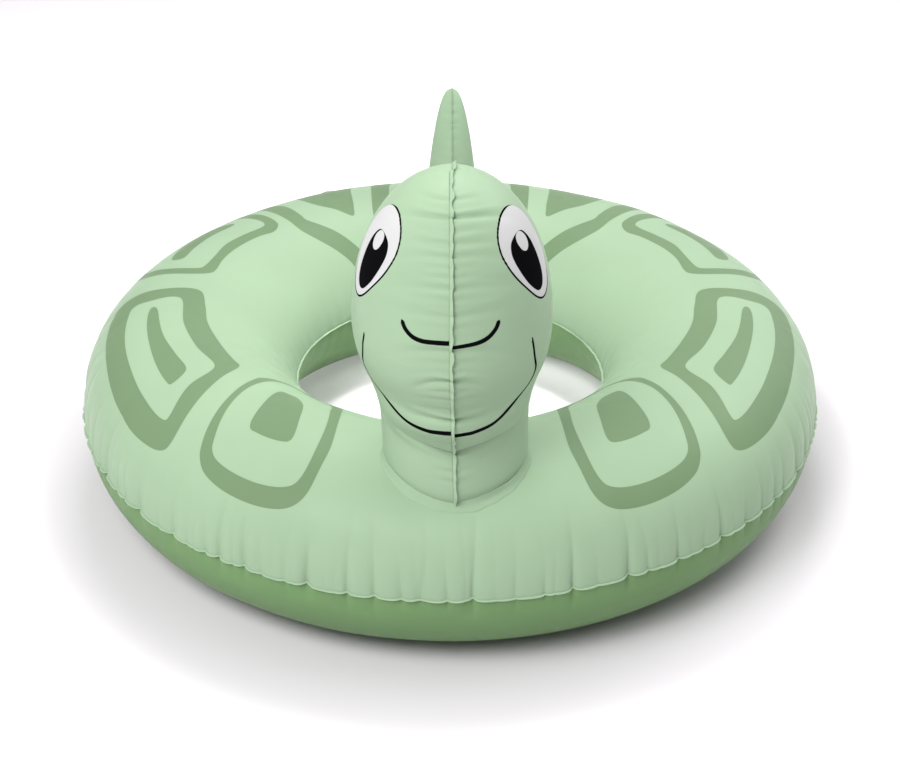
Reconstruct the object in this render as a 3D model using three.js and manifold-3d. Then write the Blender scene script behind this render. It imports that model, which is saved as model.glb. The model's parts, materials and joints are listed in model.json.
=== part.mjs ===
// Inflatable swim ring in the shape of a turtle: a ring tube, a head on a neck, a tail and two air valves.
// Millimetres, +Z up. Origin on the floor at the ring's centre; the head is at -Y and the tail at +Y.
import * as THREE from 'three';
import { mergeVertices } from 'three/addons/utils/BufferGeometryUtils.js';
import Module from 'manifold-3d';

const wasm = await Module();
wasm.setup();

// ---- Driving dimensions ----

const GAP = 0.3; // between pieces that touch
const FILM = 0.35; // PVC film
const WELD = 0.8; // two films welded together
const UP = new THREE.Vector3(0, 0, 1);

// The ring's section: four rounded quadrants that meet at the crest, the floor and the two seams.
const RING = {
  outerRadius: 446,
  innerRadius: 190.5,
  crestRadius: 313,
  crestHeight: 214,
  outerSeamHeight: 109,
  innerSeamHeight: 113.5,
  footInnerRadius: 290,
  footOuterRadius: 314,
  topOuterPower: 2.32,
  topInnerPower: 1.82,
  bottomOuterPower: 2.37,
  bottomInnerPower: 1.6,
  segments: 48,
  steps: 5,
};
const SEAM_FLANGE = { overlap: 1.5, outerReach: 4, innerReach: 3.5 };

// The head and neck, from the neck's base to the widest level: height, front Y, back Y, half width.
const HEAD = {
  stations: [
    [205, -405, -261, 76],
    [240, -403.5, -260, 75.5],
    [258, -402, -258, 76],
    [272, -411, -257, 76.3],
    [285, -421, -255.5, 77],
    [305, -432, -250, 80],
    [330, -440, -242, 89.5],
    [355, -444.5, -235, 97],
    [380, -446, -230, 99.6],
  ],
  levels: [205, 222, 240, 258, 272, 285, 305, 330, 355, 380],
  blendHeight: 240, // above this level the rows are flat; below it they follow the ring
  topHeight: 535,
  crownY: -338,
  crownSteps: 7,
  widthPower: 2.1,
  frontPower: 2.2,
  backPower: 2.1,
  columns: 12,
  seamReach: 3.5,
};

const TAIL = {
  baseHeight: 207,
  topHeight: 337,
  baseY: 332,
  lean: 60,
  leanPower: 1.3,
  halfWidth: 35.4,
  halfDepth: 42,
  widthPower: 0.42,
  depthPower: 0.55,
  rows: 9,
  columns: 8,
  seamReach: 3,
};

// A weld flange lies on the ring, and the panels stand on it.
const BASE_FLANGE = { inside: 4, outside: 5, lift: 0.6, thickness: WELD, segments: 32 };
const PANEL_LIFT = BASE_FLANGE.lift + BASE_FLANGE.thickness + GAP;
const SEAM_START = 1.6; // how far a limb's weld strip ends above its panels' lower edge

// Valve, along its own axis: 0 is the surface of the panel and + is outwards.
const VALVE = {
  flangeRadius: 13,
  flangeBore: 6.6,
  flangeBase: 0.6,
  flangeTop: 1.4,
  panelHole: 9,
  stemRadius: 6.2,
  stemBore: 4.2,
  stemDepth: 12,
  lipRadius: 7.4,
  lipThickness: 1,
  collarRadius: 7.8,
  collarThickness: 1,
  lugReach: 10,
  lugWidth: 4,
  flapRadius: 4.9,
  flapThickness: 0.5,
  capRadius: 6.4,
  capThickness: 1.6,
  spigotLength: 5.5,
  spigotRoot: 3.9,
  spigotTip: 2.6,
  tabReach: 9.5,
  tabWidth: 5,
  strapWidth: 3,
  strapThickness: 0.8,
  strapEnd: 10.3,
  segments: 24,
};
const RING_VALVE = { turn: 25, sectionAngle: 45 }; // degrees from the tail, and up the outer top quadrant
const HEAD_VALVE = { turn: 145, height: 236 }; // degrees from the face, on the neck
const AIR_HOLE_RADIUS = 15; // punched through the ring under the neck and the tail

const COLOURS = {
  shellTop: 0xbfe0ba,
  shellBottom: 0x86a97b,
  skin: 0xbfe0ba,
  weld: 0xcfe8cb,
  valve: 0xe9efe9,
};

// ---- Materials and mesh helpers ----

function vinyl(colour) {
  return new THREE.MeshStandardMaterial({ color: colour, roughness: 0.42, metalness: 0 });
}

function node(name, geometry, colour) {
  const mesh = new THREE.Mesh(geometry, vinyl(colour));
  mesh.name = name;
  return mesh;
}

function bare(geometry) {
  geometry.deleteAttribute('normal');
  geometry.deleteAttribute('uv');
  return mergeVertices(geometry, 1e-4);
}

function toSolid(geometry) {
  const merged = bare(geometry);
  return new wasm.Manifold(new wasm.Mesh({
    numProp: 3,
    vertProperties: new Float32Array(merged.attributes.position.array),
    triVerts: new Uint32Array(merged.index.array),
  }));
}

function fromSolid(solid) {
  const mesh = solid.getMesh();
  const geometry = new THREE.BufferGeometry();
  geometry.setAttribute('position', new THREE.BufferAttribute(new Float32Array(mesh.vertProperties), 3));
  geometry.setIndex(new THREE.BufferAttribute(new Uint32Array(mesh.triVerts), 1));
  return geometry;
}

// A closed loop of [radius, height] points turned about Z.
function turned(points, segments) {
  const profile = points.map(([radius, height]) => new THREE.Vector2(radius, height));
  profile.push(profile[0].clone());
  const geometry = new THREE.LatheGeometry(profile, segments);
  geometry.rotateX(Math.PI / 2);
  return bare(geometry);
}

// Faces of a grid of points, with flip to turn them over.
function addGrid(triangles, rows, flip) {
  for (let i = 0; i + 1 < rows.length; i += 1) {
    for (let j = 0; j + 1 < rows[i].length; j += 1) {
      const [a, b] = [rows[i][j], rows[i][j + 1]];
      const [c, d] = [rows[i + 1][j + 1], rows[i + 1][j]];
      const faces = flip ? [[a, c, b], [a, d, c]] : [[a, b, c], [a, c, d]];
      triangles.push(...faces);
    }
  }
}

// Merges the triangles' corners and drops the triangles that have no area.
function fromTriangles(triangles) {
  const raw = new THREE.BufferGeometry();
  const numbers = triangles.flat().flatMap((point) => [point.x, point.y, point.z]);
  raw.setAttribute('position', new THREE.BufferAttribute(new Float32Array(numbers), 3));
  const merged = mergeVertices(raw, 1e-4);
  const kept = [];
  const corners = merged.index.array;
  for (let i = 0; i < corners.length; i += 3) {
    const [a, b, c] = [corners[i], corners[i + 1], corners[i + 2]];
    if (a !== b && b !== c && a !== c) {
      kept.push(a, b, c);
    }
  }
  merged.setIndex(kept);
  return merged;
}

// A film between an outer and an inner grid of points, closed along its four edges.
function film(outer, inner, flip) {
  const triangles = [];
  const last = outer.length - 1;
  const edge = (rows, column) => rows.map((row) => row.at(column));
  addGrid(triangles, outer, flip);
  addGrid(triangles, inner, !flip);
  addGrid(triangles, [inner[0], outer[0]], flip);
  addGrid(triangles, [outer[last], inner[last]], flip);
  addGrid(triangles, [edge(outer, 0), edge(inner, 0)], flip);
  addGrid(triangles, [edge(inner, -1), edge(outer, -1)], flip);
  return fromTriangles(triangles);
}

// A flat weld strip in the plane x = 0, along a line of points with an outward normal at each.
function weldStrip(line, insideReach, outsideReach) {
  const half = WELD / 2;
  const corner = (entry, x, reach) => entry.point.clone().addScaledVector(entry.normal, reach).setX(x);
  const loops = line.map((entry) => [
    corner(entry, -half, -insideReach),
    corner(entry, half, -insideReach),
    corner(entry, half, outsideReach),
    corner(entry, -half, outsideReach),
    corner(entry, -half, -insideReach),
  ]);
  const triangles = [];
  addGrid(triangles, loops, true);
  for (const [loop, flip] of [[loops[0], true], [loops.at(-1), false]]) {
    addGrid(triangles, [[loop[0], loop[3]], [loop[1], loop[2]]], flip);
  }
  return fromTriangles(triangles);
}

// ---- Ring ----

// A quarter of the ring's section, from the seam (0) to the crest or the foot (90 degrees).
function quadrant(centre, seam, height, reach, power, inset) {
  const points = [];
  for (let i = 0; i <= RING.steps; i += 1) {
    const angle = (i / RING.steps) * Math.PI / 2;
    const across = i === RING.steps ? 0 : Math.cos(angle) ** (2 / power);
    const along = Math.sin(angle) ** (2 / power);
    const width = reach - Math.sign(reach) * inset;
    points.push([centre + width * across, seam + (height - Math.sign(height) * inset) * along]);
  }
  return points;
}

function ringSection(upper, inset) {
  const lift = WELD / 2 + GAP;
  const sign = upper ? 1 : -1;
  const outerSeam = RING.outerSeamHeight + sign * lift;
  const innerSeam = RING.innerSeamHeight + sign * lift;
  const end = upper ? RING.crestHeight : 0;
  const outerCentre = upper ? RING.crestRadius : RING.footOuterRadius;
  const innerCentre = upper ? RING.crestRadius : RING.footInnerRadius;
  const outerPower = upper ? RING.topOuterPower : RING.bottomOuterPower;
  const innerPower = upper ? RING.topInnerPower : RING.bottomInnerPower;
  const outerReach = RING.outerRadius - outerCentre;
  const innerReach = RING.innerRadius - innerCentre;
  const outer = quadrant(outerCentre, outerSeam, end - outerSeam, outerReach, outerPower, inset);
  const inner = quadrant(innerCentre, innerSeam, end - innerSeam, innerReach, innerPower, inset);
  const join = upper ? inner.reverse().slice(1) : inner.reverse();
  return [...outer, ...join];
}

function ringPanel(upper) {
  const loop = [...ringSection(upper, 0), ...ringSection(upper, FILM).reverse()];
  return turned(upper ? loop : loop.reverse(), RING.segments);
}

function seamRing(innerEdge, outerEdge, height) {
  const [low, high] = [height - WELD / 2, height + WELD / 2];
  const loop = [[innerEdge, low], [outerEdge, low], [outerEdge, high], [innerEdge, high]];
  return turned(loop, RING.segments);
}

// The ring's top surface at a radius from the centre.
function ringTop(radius) {
  const outside = radius > RING.crestRadius;
  const seam = outside ? RING.outerSeamHeight : RING.innerSeamHeight;
  const edge = outside ? RING.outerRadius : RING.innerRadius;
  const power = outside ? RING.topOuterPower : RING.topInnerPower;
  const part = Math.abs((radius - RING.crestRadius) / (edge - RING.crestRadius));
  return seam + (RING.crestHeight - seam) * (1 - part ** power) ** (1 / power);
}

// ---- Head and tail ----

// A row of a hollow limb: its level, its front and back in Y and its half width.
function headRows(inset) {
  const heights = HEAD.stations.map((station) => station[0]);
  const values = HEAD.stations.flatMap((station) => station.slice(1));
  const spline = new THREE.CubicInterpolant(heights, values, 3);
  const rows = HEAD.levels.map((level) => {
    const [front, back, half] = spline.evaluate(level);
    return { level, front: front + inset, back: back - inset, half: half - inset };
  });
  const widest = rows.at(-1);
  const rise = HEAD.topHeight - inset - widest.level;
  for (let i = 1; i <= HEAD.crownSteps; i += 1) {
    const part = Math.sin((i / HEAD.crownSteps) * Math.PI / 2);
    const shrink = (power) => Math.max(1 - part ** power, 0) ** (1 / power);
    const done = i === HEAD.crownSteps;
    rows.push({
      level: widest.level + rise * part,
      front: HEAD.crownY + (widest.front - HEAD.crownY) * (done ? 0 : shrink(HEAD.frontPower)),
      back: HEAD.crownY + (widest.back - HEAD.crownY) * (done ? 0 : shrink(HEAD.backPower)),
      half: widest.half * (done ? 0 : shrink(HEAD.widthPower)),
    });
  }
  return rows;
}

function tailRows(inset) {
  const rows = [];
  for (let i = 0; i <= TAIL.rows; i += 1) {
    const part = 1 - (1 - i / TAIL.rows) ** 1.6; // rows are closer together at the tip
    const left = i === TAIL.rows ? 0 : 1 - part;
    const middle = TAIL.baseY + TAIL.lean * part ** TAIL.leanPower;
    const depth = Math.max(TAIL.halfDepth * left ** TAIL.depthPower - inset, 0);
    rows.push({
      level: TAIL.baseHeight + (TAIL.topHeight - inset * 3 - TAIL.baseHeight) * part,
      front: middle - depth,
      back: middle + depth,
      half: Math.max(TAIL.halfWidth * left ** TAIL.widthPower - inset, 0),
    });
  }
  return rows;
}

// A point of a row, at an angle from the front round to the back, on one side (+1 or -1).
function rowPoint(row, angle, side, base) {
  const middle = (row.front + row.back) / 2;
  const depth = (row.back - row.front) / 2;
  const across = row.half * Math.abs(Math.sin(angle));
  const y = middle - depth * Math.cos(angle);
  let z = row.level;
  if (row.level < base.blendHeight) {
    const foot = ringTop(Math.hypot(across, y)) + PANEL_LIFT;
    const part = (row.level - base.startHeight) / (base.blendHeight - base.startHeight);
    z = foot + (base.blendHeight - foot) * part;
  }
  return new THREE.Vector3(side * (WELD / 2 + GAP + across), y, z);
}

function limbPanel(makeRows, columns, side, base) {
  const grid = (inset) => makeRows(inset).map((row) => {
    const points = [];
    for (let j = 0; j <= columns; j += 1) {
      points.push(rowPoint(row, (j / columns) * Math.PI, side, base));
    }
    return points;
  });
  return film(grid(0), grid(FILM), side < 0);
}

// The midline outline of a limb, from the front of its base over the top to the back of its base.
function outline(makeRows, base) {
  const rows = makeRows(0);
  const at = (angle) => rows.map((row) => rowPoint(row, angle, 1, base).setX(0));
  const points = [...at(0), ...at(Math.PI).reverse().slice(1)];
  points[0].z += SEAM_START;
  points.at(-1).z += SEAM_START;
  return points.map((point, i) => {
    const before = points[Math.max(i - 1, 0)];
    const after = points[Math.min(i + 1, points.length - 1)];
    const along = after.clone().sub(before).normalize();
    return { point, normal: new THREE.Vector3(0, -along.z, along.y) };
  });
}

// A weld ring on the ring's top panel, round a limb's base.
function baseFlange(row) {
  const middle = (row.front + row.back) / 2;
  const depth = (row.back - row.front) / 2;
  const spot = (angle, out, lift) => {
    const x = (row.half + out) * Math.sin(angle);
    const y = middle - (depth + out) * Math.cos(angle);
    return new THREE.Vector3(x, y, ringTop(Math.hypot(x, y)) + lift);
  };
  const loops = [];
  for (let i = 0; i <= BASE_FLANGE.segments; i += 1) {
    const angle = ((i % BASE_FLANGE.segments) / BASE_FLANGE.segments) * Math.PI * 2;
    const [low, high] = [BASE_FLANGE.lift, BASE_FLANGE.lift + BASE_FLANGE.thickness];
    loops.push([
      spot(angle, -BASE_FLANGE.inside, low),
      spot(angle, BASE_FLANGE.outside, low),
      spot(angle, BASE_FLANGE.outside, high),
      spot(angle, -BASE_FLANGE.inside, high),
      spot(angle, -BASE_FLANGE.inside, low),
    ]);
  }
  const triangles = [];
  addGrid(triangles, loops, true);
  return fromTriangles(triangles);
}

// ---- Valve pieces, each along its own axis ----

function box(x0, x1, width, z0, z1) {
  const geometry = new THREE.BoxGeometry(x1 - x0, width, z1 - z0);
  geometry.translate((x0 + x1) / 2, 0, (z0 + z1) / 2);
  return geometry;
}

function valveFlange() {
  const { flangeBore, flangeRadius, flangeBase, flangeTop, segments } = VALVE;
  const loop = [
    [flangeBore, flangeBase],
    [flangeRadius, flangeBase],
    [flangeRadius - 1, flangeTop],
    [flangeBore, flangeTop],
  ];
  return turned(loop, segments);
}

const COLLAR_BASE = VALVE.flangeTop + GAP;
const COLLAR_TOP = COLLAR_BASE + VALVE.collarThickness;
const CAP_BASE = COLLAR_TOP + GAP;

function valveStem() {
  const loop = [
    [VALVE.stemBore, -VALVE.stemDepth],
    [VALVE.lipRadius, -VALVE.stemDepth],
    [VALVE.lipRadius, -VALVE.stemDepth + VALVE.lipThickness],
    [VALVE.stemRadius, -VALVE.stemDepth + VALVE.lipThickness],
    [VALVE.stemRadius, COLLAR_BASE],
    [VALVE.collarRadius, COLLAR_BASE],
    [VALVE.collarRadius, COLLAR_TOP],
    [VALVE.stemBore, COLLAR_TOP],
  ];
  const lug = box(VALVE.stemRadius - 0.5, VALVE.lugReach, VALVE.lugWidth, COLLAR_BASE, COLLAR_TOP);
  return fromSolid(toSolid(turned(loop, VALVE.segments)).add(toSolid(lug)));
}

// The flap closes the stem's inner end; its tab holds it to the stem's lip on the strap's side.
function valveFlap() {
  const top = -VALVE.stemDepth - GAP;
  const disc = new THREE.CylinderGeometry(VALVE.flapRadius, VALVE.flapRadius, VALVE.flapThickness, VALVE.segments);
  disc.rotateX(Math.PI / 2);
  disc.translate(0, 0, top - VALVE.flapThickness / 2);
  const tab = box(VALVE.flapRadius - 1, VALVE.lipRadius, VALVE.strapWidth, top - VALVE.flapThickness, top);
  return fromSolid(toSolid(disc).add(toSolid(tab)));
}

function valvePlug() {
  const top = CAP_BASE + VALVE.capThickness;
  const loop = [
    [0, CAP_BASE - VALVE.spigotLength],
    [VALVE.spigotTip, CAP_BASE - VALVE.spigotLength],
    [VALVE.spigotRoot, CAP_BASE],
    [VALVE.capRadius, CAP_BASE],
    [VALVE.capRadius, top],
    [0, top],
  ];
  const tab = box(-VALVE.tabReach, -VALVE.capRadius + 1, VALVE.tabWidth, CAP_BASE, top);
  return fromSolid(toSolid(turned(loop, VALVE.segments)).add(toSolid(tab)));
}

function valveTether() {
  const low = CAP_BASE + 0.2;
  return box(VALVE.capRadius + GAP, VALVE.strapEnd, VALVE.strapWidth, low, low + VALVE.strapThickness);
}

// The valve's pieces in a group whose own +Z is the outward direction at the given place.
function valve(prefix, place, outward, strapSide) {
  const group = new THREE.Group();
  const side = strapSide.clone().addScaledVector(outward, -strapSide.dot(outward)).normalize();
  const third = outward.clone().cross(side);
  group.quaternion.setFromRotationMatrix(new THREE.Matrix4().makeBasis(side, third, outward));
  group.position.copy(place);
  group.add(
    node(`${prefix}_valve_flange`, valveFlange(), COLOURS.valve),
    node(`${prefix}_valve_stem`, valveStem(), COLOURS.valve),
    node(`${prefix}_valve_flap`, valveFlap(), COLOURS.valve),
    node(`${prefix}_valve_plug`, valvePlug(), COLOURS.valve),
    node(`${prefix}_valve_tether`, valveTether(), COLOURS.valve),
  );
  return group;
}

// Where the ring's valve sits, on the outer flank beside the tail.
function ringValvePlace() {
  const turn = THREE.MathUtils.degToRad(RING_VALVE.turn);
  const angle = THREE.MathUtils.degToRad(RING_VALVE.sectionAngle);
  const power = RING.topOuterPower;
  const reach = RING.outerRadius - RING.crestRadius;
  const rise = RING.crestHeight - RING.outerSeamHeight;
  const radius = RING.crestRadius + reach * Math.cos(angle) ** (2 / power);
  const height = RING.outerSeamHeight + rise * Math.sin(angle) ** (2 / power);
  const [sin, cos] = [Math.sin(turn), Math.cos(turn)];
  const slope = new THREE.Vector2(
    Math.cos(angle) ** (2 - 2 / power) / reach,
    Math.sin(angle) ** (2 - 2 / power) / rise,
  ).normalize();
  return {
    place: new THREE.Vector3(-radius * sin, radius * cos, height),
    outward: new THREE.Vector3(-slope.x * sin, slope.x * cos, slope.y),
  };
}

// Where the head's valve sits, on the back of the neck beside the seam.
function headValvePlace() {
  const angle = THREE.MathUtils.degToRad(HEAD_VALVE.turn);
  const [, front, back, half] = HEAD.stations[1];
  const [middle, depth] = [(front + back) / 2, (back - front) / 2];
  const x = -(half * Math.sin(angle) + WELD / 2 + GAP);
  const outward = new THREE.Vector3(-Math.sin(angle) / half, -Math.cos(angle) / depth, 0).normalize();
  return { place: new THREE.Vector3(x, middle - depth * Math.cos(angle), HEAD_VALVE.height), outward };
}

// ---- Assembly ----

function drill(radius, place, direction) {
  const geometry = new THREE.CylinderGeometry(radius, radius, 40, VALVE.segments);
  geometry.applyQuaternion(new THREE.Quaternion().setFromUnitVectors(new THREE.Vector3(0, 1, 0), direction));
  geometry.translate(place.x, place.y, place.z);
  return toSolid(geometry);
}

const headBase = { startHeight: HEAD.levels[0], blendHeight: HEAD.blendHeight };
const tailBase = { startHeight: TAIL.baseHeight, blendHeight: TAIL.baseHeight + 35 };
const neckCentre = new THREE.Vector3(0, (HEAD.stations[0][1] + HEAD.stations[0][2]) / 2, RING.crestHeight);
const tailCentre = new THREE.Vector3(0, TAIL.baseY, RING.crestHeight);
const ringValve = ringValvePlace();
const headValve = headValvePlace();

const upperPanel = toSolid(ringPanel(true))
  .subtract(drill(AIR_HOLE_RADIUS, neckCentre, UP))
  .subtract(drill(AIR_HOLE_RADIUS, tailCentre, UP))
  .subtract(drill(VALVE.panelHole, ringValve.place, ringValve.outward));
const leftHeadPanel = toSolid(limbPanel(headRows, HEAD.columns, -1, headBase))
  .subtract(drill(VALVE.panelHole, headValve.place, headValve.outward));

const { overlap, outerReach, innerReach } = SEAM_FLANGE;
const float = new THREE.Group();
float.add(
  node('ring_upper_panel', fromSolid(upperPanel), COLOURS.shellTop),
  node('ring_lower_panel', ringPanel(false), COLOURS.shellBottom),
  node('ring_outer_seam', seamRing(
    RING.outerRadius - overlap,
    RING.outerRadius + outerReach,
    RING.outerSeamHeight,
  ), COLOURS.weld),
  node('ring_inner_seam', seamRing(
    RING.innerRadius - innerReach,
    RING.innerRadius + overlap,
    RING.innerSeamHeight,
  ), COLOURS.weld),
  node('neck_base_flange', baseFlange(headRows(0)[0]), COLOURS.weld),
  node('head_left_panel', fromSolid(leftHeadPanel), COLOURS.skin),
  node('head_right_panel', limbPanel(headRows, HEAD.columns, 1, headBase), COLOURS.skin),
  node('head_seam', weldStrip(outline(headRows, headBase), overlap, HEAD.seamReach), COLOURS.weld),
  node('tail_base_flange', baseFlange(tailRows(0)[0]), COLOURS.weld),
  node('tail_left_panel', limbPanel(tailRows, TAIL.columns, -1, tailBase), COLOURS.skin),
  node('tail_right_panel', limbPanel(tailRows, TAIL.columns, 1, tailBase), COLOURS.skin),
  node('tail_seam', weldStrip(outline(tailRows, tailBase), overlap, TAIL.seamReach), COLOURS.weld),
  valve('ring', ringValve.place, ringValve.outward, new THREE.Vector3(1, 0, 0)),
  valve('head', headValve.place, headValve.outward, UP),
);

export default float;
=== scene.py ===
import json
import math

import bmesh
import bpy
import numpy as np
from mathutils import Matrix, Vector


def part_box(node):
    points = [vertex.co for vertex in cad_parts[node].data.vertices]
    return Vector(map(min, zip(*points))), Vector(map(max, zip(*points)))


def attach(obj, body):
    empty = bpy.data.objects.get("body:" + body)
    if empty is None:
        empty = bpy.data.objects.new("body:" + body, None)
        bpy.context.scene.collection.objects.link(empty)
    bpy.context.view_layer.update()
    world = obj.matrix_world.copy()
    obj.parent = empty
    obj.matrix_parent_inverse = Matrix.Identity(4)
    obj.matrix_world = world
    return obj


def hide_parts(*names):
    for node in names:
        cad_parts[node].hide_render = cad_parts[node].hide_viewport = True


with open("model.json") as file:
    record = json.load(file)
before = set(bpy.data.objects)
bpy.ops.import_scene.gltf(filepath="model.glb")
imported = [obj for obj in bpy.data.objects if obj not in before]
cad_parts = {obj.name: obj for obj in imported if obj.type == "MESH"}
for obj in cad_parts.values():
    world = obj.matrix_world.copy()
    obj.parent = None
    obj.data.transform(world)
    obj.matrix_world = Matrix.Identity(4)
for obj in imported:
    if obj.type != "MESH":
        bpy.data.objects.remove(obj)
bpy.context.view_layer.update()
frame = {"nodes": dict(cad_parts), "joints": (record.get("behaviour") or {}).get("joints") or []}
NODES = frame["nodes"]
MM = 0.001

# ---- Sizes read from the CAD frame, in metres ----


def corners(node):
    return np.array([v.co for v in NODES[node].data.vertices])


def radii(points):
    return np.hypot(points[:, 0], points[:, 1])


upper_cad = corners("ring_upper_panel")
lower_cad = corners("ring_lower_panel")
foot_radii = radii(lower_cad[lower_cad[:, 2] < 0.01 * MM])
OUTER_RADIUS = radii(upper_cad).max()
INNER_RADIUS = radii(upper_cad).min()
CREST_HEIGHT = upper_cad[:, 2].max()
CREST_RADIUS = radii(upper_cad[upper_cad[:, 2] > CREST_HEIGHT - 0.01 * MM]).max()
FOOT_OUTER = foot_radii.max()
FOOT_INNER = foot_radii.min()


def middle_height(node):
    low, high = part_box(node)
    return (low.z + high.z) / 2


OUTER_SEAM = middle_height("ring_outer_seam")
INNER_SEAM = middle_height("ring_inner_seam")
HEAD_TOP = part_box("head_left_panel")[1].z
TAIL_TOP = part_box("tail_left_panel")[1].z

# ---- Mesh helpers ----


def make_object(name, points, faces, body, replaces=()):
    mesh = bpy.data.meshes.new(name)
    points = np.asarray(points, np.float32).reshape(-1, 3)
    mesh.vertices.add(len(points))
    mesh.vertices.foreach_set("co", points.ravel())
    mesh.loops.add(faces.size)
    mesh.loops.foreach_set("vertex_index", faces.astype(np.int32).ravel())
    mesh.polygons.add(len(faces))
    mesh.polygons.foreach_set("loop_start", np.arange(len(faces), dtype=np.int32) * faces.shape[1])
    mesh.polygons.foreach_set("use_smooth", np.ones(len(faces), bool))
    mesh.update(calc_edges=True)
    obj = bpy.data.objects.new(name, mesh)
    bpy.context.scene.collection.objects.link(obj)
    if body:
        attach(obj, body)
    if replaces:
        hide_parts(*replaces)
    return obj


def grid_faces(points, close_rows=False, close_columns=False, flip=False):
    """The four-sided faces between a grid's points."""
    rows, columns = points.shape[:2]
    i = np.arange(rows if close_rows else rows - 1)[:, None]
    j = np.arange(columns if close_columns else columns - 1)[None, :]
    i, j = np.broadcast_arrays(i, j)
    below, beside = (i + 1) % rows, (j + 1) % columns
    quad = [i * columns + j, below * columns + j, below * columns + beside, i * columns + beside]
    faces = np.stack(quad, -1).reshape(-1, 4)
    return faces[:, ::-1] if flip else faces


def put_attribute(obj, name, values):
    layer = obj.data.attributes.new(name, "FLOAT", "POINT")
    layer.data.foreach_set("value", np.asarray(values, np.float32).ravel())


def merge_close(obj, distance=0.02 * MM):
    work = bmesh.new()
    work.from_mesh(obj.data)
    bmesh.ops.remove_doubles(work, verts=work.verts, dist=distance)
    work.to_mesh(obj.data)
    work.free()
    obj.data.update()


def unit(vectors):
    return vectors / np.maximum(np.linalg.norm(vectors, axis=-1, keepdims=True), 1e-12)


def resample(line, count):
    """The polyline's points at even steps of its length, and their distance from its start."""
    steps = np.linalg.norm(np.diff(line, axis=0), axis=1)
    length = np.r_[0, np.cumsum(steps)]
    at = np.linspace(0, length[-1], count)
    return np.stack([np.interp(at, length, line[:, k]) for k in range(line.shape[1])], 1), at


def spline(points, closed, per_span=10):
    """A Catmull-Rom curve through the points."""
    p = np.asarray(points, float)
    if closed:
        padded = np.vstack([p[-1:], p, p[:2]])
    else:
        padded = np.vstack([2 * p[0] - p[1], p, 2 * p[-1] - p[-2]])
    t = np.linspace(0, 1, per_span, endpoint=False)[:, None]
    spans = []
    for a, b, c, d in zip(padded[:-3], padded[1:-2], padded[2:-1], padded[3:]):
        cubic = 2 * b + (c - a) * t + (2 * a - 5 * b + 4 * c - d) * t**2 + (3 * b - a - 3 * c + d) * t**3
        spans.append(cubic / 2)
    if not closed:
        spans.append(p[-1:])
    return np.vstack(spans)


def smooth_values(at, places, values):
    """A smooth curve of values through given places."""
    places = np.asarray(places, float)
    values = np.asarray(values, float)
    slopes = np.gradient(values, places)
    at = np.clip(at, places[0], places[-1])
    k = np.clip(np.searchsorted(places, at, side="right") - 1, 0, len(places) - 2)
    span = places[k + 1] - places[k]
    t = (at - places[k]) / span
    low = values[k] * (1 + 2 * t) * (1 - t) ** 2 + values[k + 1] * t**2 * (3 - 2 * t)
    return low + span * (slopes[k] * t * (1 - t) ** 2 + slopes[k + 1] * t**2 * (t - 1))


def signed_distance(points, outline, reach):
    """Distance of 2-D points to a closed outline, negative inside, and cut off at reach."""
    result = np.full(len(points), float(reach))
    low, high = outline.min(0) - reach, outline.max(0) + reach
    near = np.all((points > low) & (points < high), axis=1)
    p = points[near]
    best = np.full(len(p), float(reach) ** 2)
    inside = np.zeros(len(p), bool)
    for a, b in zip(outline, np.roll(outline, -1, axis=0)):
        d = b - a
        t = np.clip(((p - a) @ d) / max(d @ d, 1e-12), 0, 1)
        best = np.minimum(best, ((p - a - t[:, None] * d) ** 2).sum(1))
        crosses = (a[1] > p[:, 1]) != (b[1] > p[:, 1])
        if a[1] != b[1]:
            inside ^= crosses & (p[:, 0] < a[0] + (p[:, 1] - a[1]) * d[0] / d[1])
    result[near] = np.sqrt(best) * np.where(inside, -1, 1)
    return result


def soft_noise(phase, seed, waves=6, low=2, high=9):
    """A smooth repeating curve over an angle, about -1 to 1."""
    rng = np.random.default_rng(seed)
    total = np.zeros_like(phase)
    for _ in range(waves):
        total = total + np.sin(phase * rng.integers(low, high + 1) + rng.uniform(0, 6.28))
    return total / waves**0.5


# ---- Where the air valves sit ----

# The plug's hinge lies this far out from the valve's axis, and this high over the film.
HINGE_REACH = 10.3 * MM
HINGE_RISE = 3.0 * MM
FILM_HOLE = 8.6 * MM  # radius of the hole in the film under a valve
HOLE_DEPTH = 20 * MM  # faces farther from the film's plane than this belong to other parts of the film


def valve_place(prefix):
    """A valve's own axes (to its hinge, along its hinge, outwards) and its middle on the film."""
    joints = {joint["name"]: joint for joint in frame["joints"]}
    outward = np.array(joints[prefix + "_valve_pull"]["axis"])
    third = np.array(joints[prefix + "_plug_open"]["axis"])
    side = np.cross(third, outward)
    origin = np.array(joints[prefix + "_plug_open"]["pos_m"]) - HINGE_REACH * side - HINGE_RISE * outward
    return np.stack([side, third, outward]), origin


def punched(points, faces, prefix):
    """The film's faces without the ones over the valve's stem."""
    axes, origin = valve_place(prefix)
    local = (points.reshape(-1, 3)[faces].mean(1) - origin) @ axes.T
    return faces[(np.hypot(local[:, 0], local[:, 1]) > FILM_HOLE) | (np.abs(local[:, 2]) > HOLE_DEPTH)]


# ---- Ring section ----

TOP_OUTER_POWER = 2.32
TOP_INNER_POWER = 1.82
BOTTOM_OUTER_POWER = 2.37
BOTTOM_INNER_POWER = 1.6
EDGE_LIFT = 0.25 * MM  # between a panel's edge and the middle of its weld


def quarter(centre, seam, reach, rise, power):
    turn = np.linspace(0, math.pi / 2, 500)
    across = np.abs(np.cos(turn)) ** (2 / power)
    across[-1] = 0
    return np.stack([centre + reach * across, seam + rise * np.sin(turn) ** (2 / power)], 1)


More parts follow.
